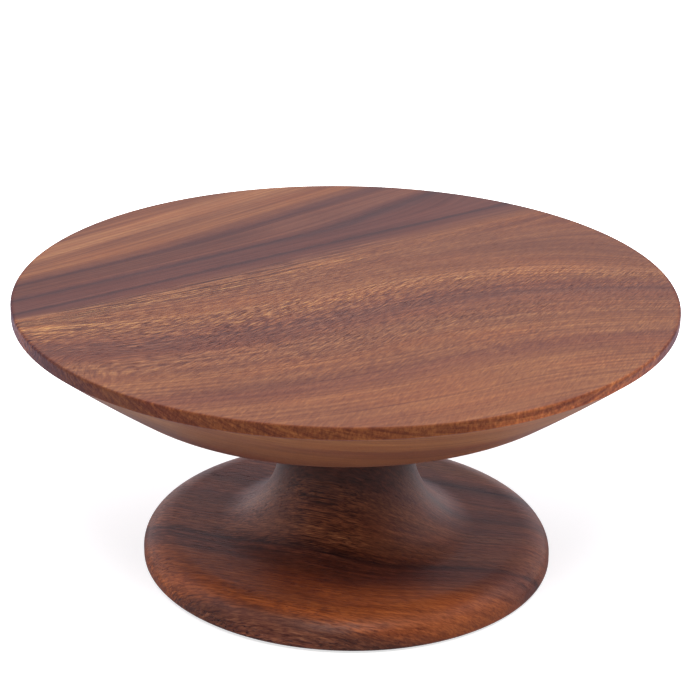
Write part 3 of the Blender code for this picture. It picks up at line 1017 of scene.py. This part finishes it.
def build_floor():
    """White sweep that glows as bounce light, dimmer close to the object as a painted shadow and brighter
    behind it; the camera sees it as white.
    """
    shape = bmesh.new()
    bmesh.ops.create_grid(shape, x_segments=8, y_segments=8, size=FLOOR_SIZE)
    floor = finished("floor", shape)
    material = new_material("pale_floor")
    tree = material.node_tree
    place = object_place(tree)
    away = node(tree, "ShaderNodeVectorMath", {0: place}, operation="LENGTH").outputs["Value"]
    depth = components(tree, place)[1]
    ahead = maths(tree, "DIVIDE", depth, away)
    bounce = between(tree, away, 0.12, 0.50, 0.0, 0.85)
    bounce = product(tree, bounce, between(tree, ahead, -0.95, -0.6, 0.6, 1.0))
    bounce = maths(tree, "ADD", bounce, between(tree, depth, 0.0, 0.40, 0.0, 0.55))
    seen = node(tree, "ShaderNodeLightPath").outputs["Is Camera Ray"]
    lift = scaled(tree, seen, 0.70, bounce)
    paper = node(tree, "ShaderNodeBsdfDiffuse", {"Color": PAPER})
    glow = node(tree, "ShaderNodeEmission", {"Color": (1.0, 1.0, 1.0, 1.0), "Strength": lift})
    both = node(tree, "ShaderNodeAddShader", {0: paper.outputs[0], 1: glow.outputs[0]})
    node(tree, "ShaderNodeOutputMaterial", {0: both.outputs[0]})
    floor.data.materials.append(material)


def add_softbox(name, place, size, power, tint=(1.0, 1.0, 1.0), aim=(0, 0, 0.08)):
    light = bpy.data.lights.new(name, "AREA")
    light.color = tint
    light.shape = "RECTANGLE"
    light.size, light.size_y = size
    light.energy = power
    lamp = bpy.data.objects.new(name, light)
    lamp.location = place
    lamp.rotation_euler = (Vector(aim) - Vector(place)).to_track_quat("-Z", "Y").to_euler()
    bpy.context.scene.collection.objects.link(lamp)


def build_lights():
    """A bright room behind and beside the object, and a darker one on the camera's side."""
    world = bpy.data.worlds.new("studio")
    bpy.context.scene.world = world
    world.use_nodes = True
    tree = world.node_tree
    direction = node(tree, "ShaderNodeTexCoord").outputs["Generated"]
    side, back, up = components(tree, direction)
    level = between(tree, back, -0.8, 0.4, 0.12, 0.68)
    level = scaled(tree, maths(tree, "POWER", maths(tree, "ABSOLUTE", side), 3.0), 0.45, level)
    horizon = product(tree, between(tree, up, 0.28, 0.0), between(tree, back, -0.2, 0.5))
    level = scaled(tree, horizon, 0.45, level)
    seen = node(tree, "ShaderNodeLightPath").outputs["Is Camera Ray"]
    level = maths(tree, "ADD", level, seen)
    sky = tree.nodes["Background"]
    sky.inputs["Color"].default_value = SKY_TINT
    tree.links.new(level, sky.inputs["Strength"])
    add_softbox("overhead", (0.0, 0.2, 1.6), (1.4, 1.2), 3)
    add_softbox("front_top", (0.0, -0.85, 1.30), (0.6, 0.35), 16)
    add_softbox("left", (-1.1, 0.0, 1.15), (0.9, 0.8), 5, tint=SIDE_TINT)
    add_softbox("right", (1.1, 0.1, 1.15), (0.9, 0.8), 5, tint=SIDE_TINT)


def build_camera():
    back = Vector((0, -cos(VIEW_ELEVATION), sin(VIEW_ELEVATION)))
    right = Vector((1, 0, 0))
    up = back.cross(right)
    rolled_right = right * cos(VIEW_ROLL) + up * sin(VIEW_ROLL)
    rolled_up = up * cos(VIEW_ROLL) - right * sin(VIEW_ROLL)
    data = bpy.data.cameras.new("camera")
    data.lens = VIEW_LENS
    data.sensor_width = SENSOR_WIDTH
    camera = bpy.data.objects.new("camera", data)
    turn = Matrix((rolled_right, rolled_up, back)).transposed().to_4x4()
    camera.matrix_world = Matrix.Translation(VIEW_TARGET + back * VIEW_DISTANCE) @ turn
    bpy.context.scene.collection.objects.link(camera)
    bpy.context.scene.camera = camera


build_plate()
build_pedestal()
build_bolt()
build_flat_washer()
build_lock_washer()
build_insert()
build_dowels()
build_pads()
build_floor()
build_lights()
build_camera()
bpy.context.scene.view_settings.view_transform = "Standard"
